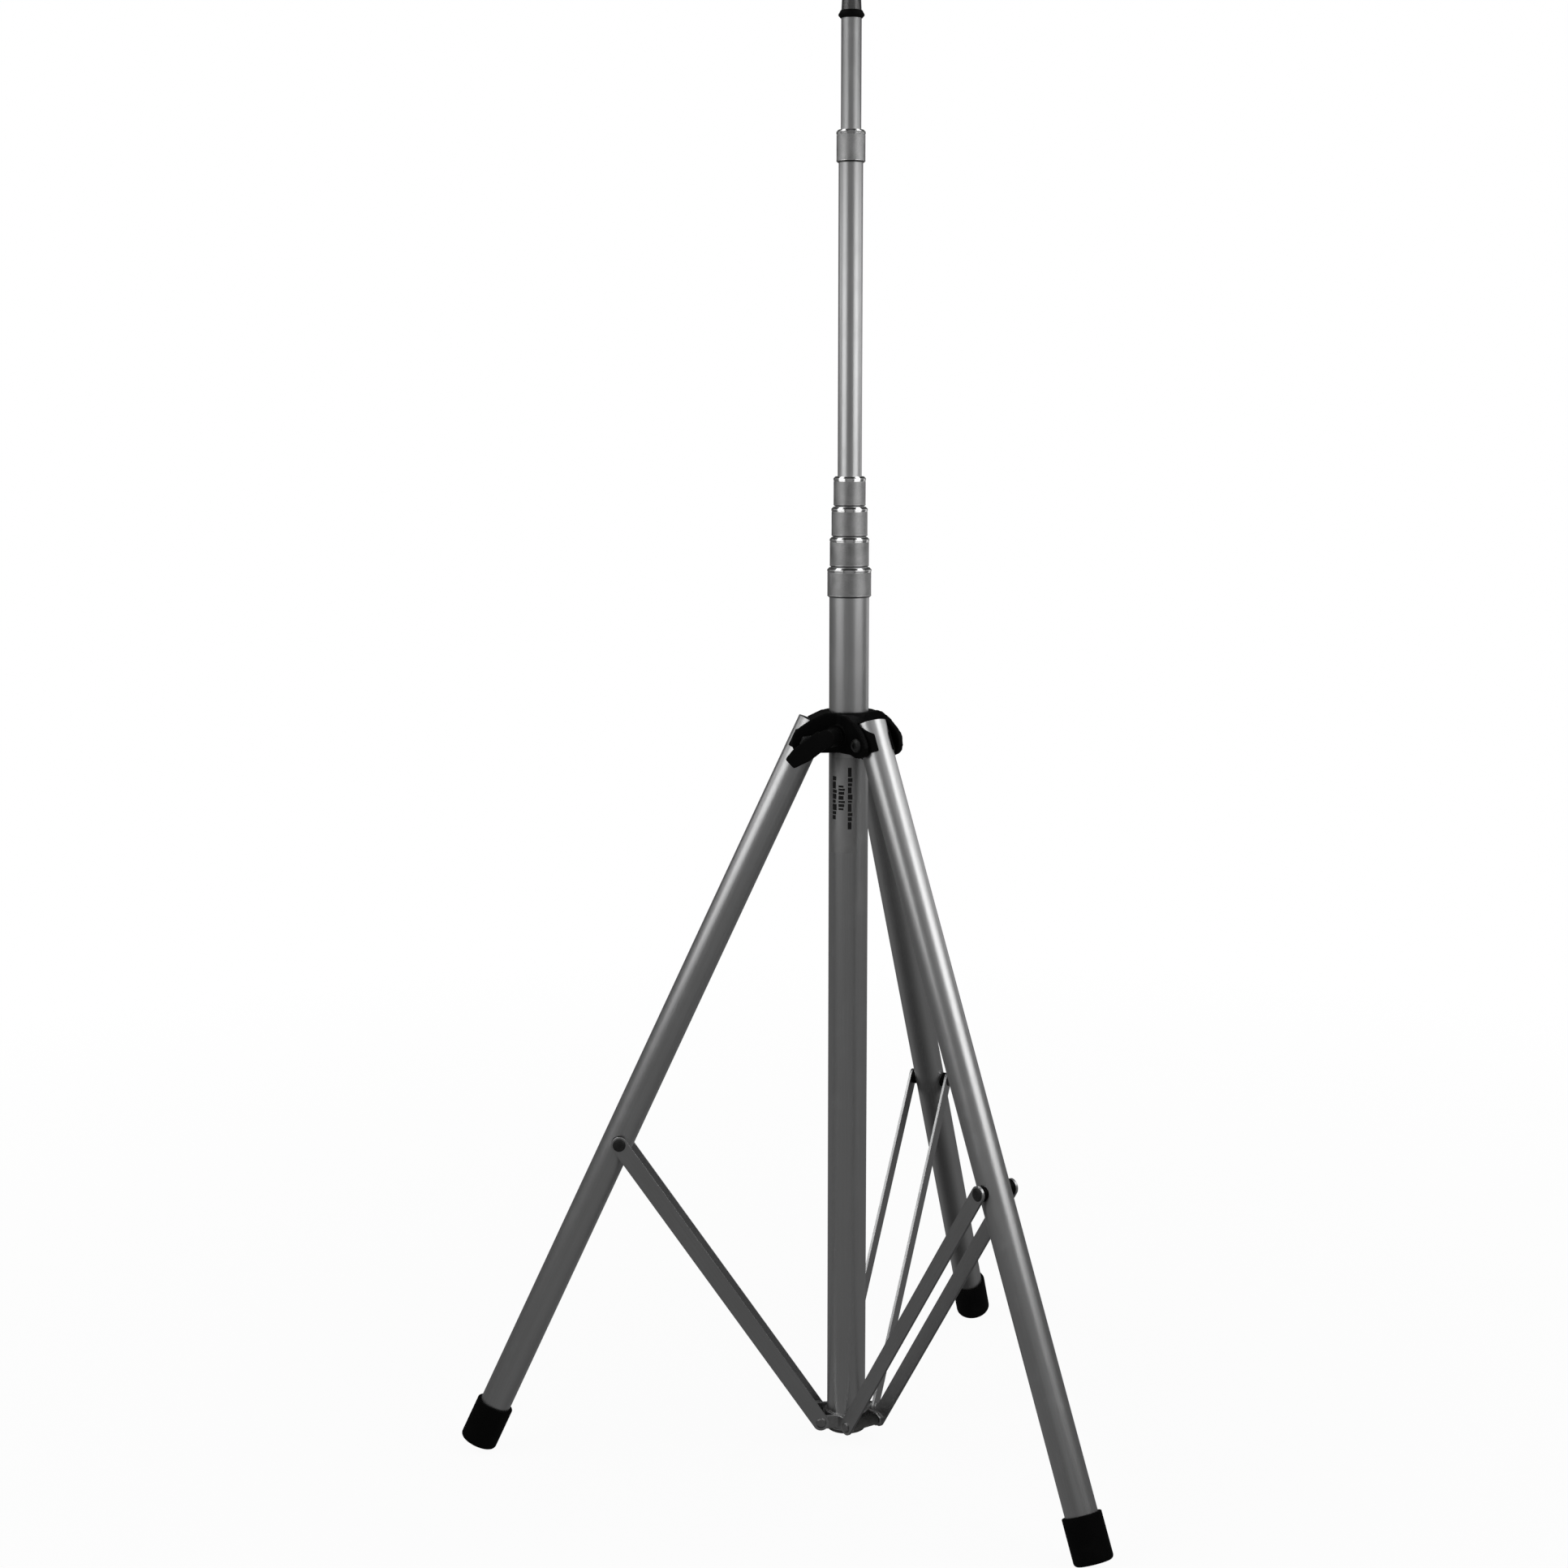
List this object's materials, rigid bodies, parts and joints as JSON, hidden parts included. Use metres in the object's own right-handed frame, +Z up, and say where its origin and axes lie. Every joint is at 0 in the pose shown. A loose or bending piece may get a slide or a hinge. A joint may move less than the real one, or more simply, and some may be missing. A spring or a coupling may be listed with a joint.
{
  "type": "telescoping tripod stand",
  "caption": "Tall telescoping aluminium mast on a folding tripod base with flat-bar braces, knurled twist-lock collars, black hub and foot caps, threaded top.",
  "frame": {"origin": "on the mast's axis at floor level, under the open tripod", "axes": "+Z up the mast; one leg points along -X, the others are 120 degrees round"},
  "size_m": [0.5855, 0.6704, 1.417],
  "materials": {
    "satin_tube": "satin drawn tube, clear anodised",
    "turned_collar": "turned and knurled, polished rims",
    "brace_bar": "flat bar, brushed",
    "bracket_metal": "pressed bracket",
    "plated_steel": "plated",
    "black_steel": "black finish",
    "dark_fitting": "dark turned fitting",
    "black_plastic": "moulded, fine grain",
    "black_rubber": "moulded rubber",
    "natural_nylon": "natural nylon"
  },
  "bodies": {
    "mast_base": {"tube_1": "satin_tube", "collet_1": "natural_nylon", "spider": "bracket_metal", "spider_rivets": "plated_steel", "spider_rolls": "black_plastic", "mast_plug": "black_plastic"},
    "hub": {"hub_body": "black_plastic", "leg_pivot_bolts": "black_steel", "leg_pivot_nuts": "black_steel", "clamp_pad": "natural_nylon"},
    "clamp": {"clamp_screw": "black_steel", "clamp_lever": "black_plastic"},
    "section_2": {"tube_2": "satin_tube", "guide_bush_2": "natural_nylon", "collet_2": "natural_nylon"},
    "section_3": {"tube_3": "satin_tube", "guide_bush_3": "natural_nylon", "collet_3": "natural_nylon"},
    "section_4": {"tube_4": "satin_tube", "guide_bush_4": "natural_nylon", "collet_4": "natural_nylon"},
    "section_5": {"tube_5": "satin_tube", "guide_bush_5": "natural_nylon", "collet_5": "natural_nylon"},
    "section_6": {"tube_6": "satin_tube", "guide_bush_6": "natural_nylon", "bumper_ring": "black_rubber", "top_fitting": "dark_fitting"},
    "collar_1": {"collar_1": "turned_collar"},
    "collar_2": {"collar_2": "turned_collar"},
    "collar_3": {"collar_3": "turned_collar"},
    "collar_4": {"collar_4": "turned_collar"},
    "collar_5": {"collar_5": "turned_collar"},
    "leg_1": {"leg_tube_1": "satin_tube", "foot_cap_1": "black_rubber", "leg_saddle_1": "black_plastic", "leg_sleeve_1": "plated_steel", "brace_pin_1": "plated_steel", "brace_spacers_1": "black_plastic"},
    "braces_1": {"brace_left_1": "brace_bar", "brace_right_1": "brace_bar", "brace_heads_1": "black_steel"},
    "leg_2": {"leg_tube_2": "satin_tube", "foot_cap_2": "black_rubber", "leg_saddle_2": "black_plastic", "leg_sleeve_2": "plated_steel", "brace_pin_2": "plated_steel", "brace_spacers_2": "black_plastic"},
    "braces_2": {"brace_left_2": "brace_bar", "brace_right_2": "brace_bar", "brace_heads_2": "black_steel"},
    "leg_3": {"leg_tube_3": "satin_tube", "foot_cap_3": "black_rubber", "leg_saddle_3": "black_plastic", "leg_sleeve_3": "plated_steel", "brace_pin_3": "plated_steel", "brace_spacers_3": "black_plastic"},
    "braces_3": {"brace_left_3": "brace_bar", "brace_right_3": "brace_bar", "brace_heads_3": "black_steel"}
  },
  "joints": [
    {"name": "hub_slide", "type": "slide", "parent": "mast_base", "child": "hub", "axis": [0, 0, 1], "range_m": [0, 0.10138]},
    {"name": "leg_1_fold", "type": "hinge", "parent": "hub", "child": "leg_1", "pos_m": [-0.0425, 0, 0.7058], "axis": [0, -1, 0], "range_deg": [0, 25.01]},
    {"name": "brace_1_fold", "type": "hinge", "parent": "mast_base", "child": "braces_1", "pos_m": [-0.0275, 0, 0.0205], "axis": [0, 1, 0], "range_deg": [0, 31.78]},
    {"name": "leg_2_fold", "type": "hinge", "parent": "hub", "child": "leg_2", "pos_m": [0.02125, -0.03681, 0.7058], "axis": [0.866, 0.5, 0], "range_deg": [0, 25.01]},
    {"name": "brace_2_fold", "type": "hinge", "parent": "mast_base", "child": "braces_2", "pos_m": [0.01375, -0.02382, 0.0205], "axis": [-0.866, -0.5, 0], "range_deg": [0, 31.78]},
    {"name": "leg_3_fold", "type": "hinge", "parent": "hub", "child": "leg_3", "pos_m": [0.02125, 0.03681, 0.7058], "axis": [-0.866, 0.5, 0], "range_deg": [0, 25.01]},
    {"name": "brace_3_fold", "type": "hinge", "parent": "mast_base", "child": "braces_3", "pos_m": [0.01375, 0.02382, 0.0205], "axis": [0.866, -0.5, 0], "range_deg": [0, 31.78]},
    {"name": "clamp_turn", "type": "hinge", "parent": "hub", "child": "clamp", "pos_m": [-0.025, -0.0433, 0.712], "axis": [-0.5, -0.866, 0], "range_deg": [0, 110]},
    {"name": "collar_1_twist", "type": "hinge", "parent": "mast_base", "child": "collar_1", "pos_m": [0, 0, 0.85], "axis": [0, 0, 1], "range_deg": [0, 180]},
    {"name": "collar_2_twist", "type": "hinge", "parent": "section_2", "child": "collar_2", "pos_m": [0, 0, 0.85], "axis": [0, 0, 1], "range_deg": [0, 180]},
    {"name": "collar_3_twist", "type": "hinge", "parent": "section_3", "child": "collar_3", "pos_m": [0, 0, 0.85], "axis": [0, 0, 1], "range_deg": [0, 180]},
    {"name": "collar_4_twist", "type": "hinge", "parent": "section_4", "child": "collar_4", "pos_m": [0, 0, 0.85], "axis": [0, 0, 1], "range_deg": [0, 180]},
    {"name": "collar_5_twist", "type": "hinge", "parent": "section_5", "child": "collar_5", "pos_m": [0, 0, 0.85], "axis": [0, 0, 1], "range_deg": [0, 180]},
    {"name": "section_2_slide", "type": "slide", "parent": "mast_base", "child": "section_2", "axis": [0, 0, 1], "range_m": [0, 0.71]},
    {"name": "section_3_slide", "type": "slide", "parent": "section_2", "child": "section_3", "axis": [0, 0, 1], "range_m": [0, 0.71]},
    {"name": "section_4_slide", "type": "slide", "parent": "section_3", "child": "section_4", "axis": [0, 0, 1], "range_m": [0, 0.71]},
    {"name": "section_5_slide", "type": "slide", "parent": "section_4", "child": "section_5", "axis": [0, 0, 1], "range_m": [-0.2902, 0.4198]},
    {"name": "section_6_slide", "type": "slide", "parent": "section_5", "child": "section_6", "axis": [0, 0, 1], "range_m": [-0.0986, 0.6114]}
  ],
  "couplings": [
    {"joint": "leg_1_fold", "follows": "hub_slide", "rad_per_m": 4.3038},
    {"joint": "brace_1_fold", "follows": "hub_slide", "rad_per_m": 5.4683},
    {"joint": "leg_2_fold", "follows": "hub_slide", "rad_per_m": 4.3038},
    {"joint": "brace_2_fold", "follows": "hub_slide", "rad_per_m": 5.4683},
    {"joint": "leg_3_fold", "follows": "hub_slide", "rad_per_m": 4.3038},
    {"joint": "brace_3_fold", "follows": "hub_slide", "rad_per_m": 5.4683}
  ]
}
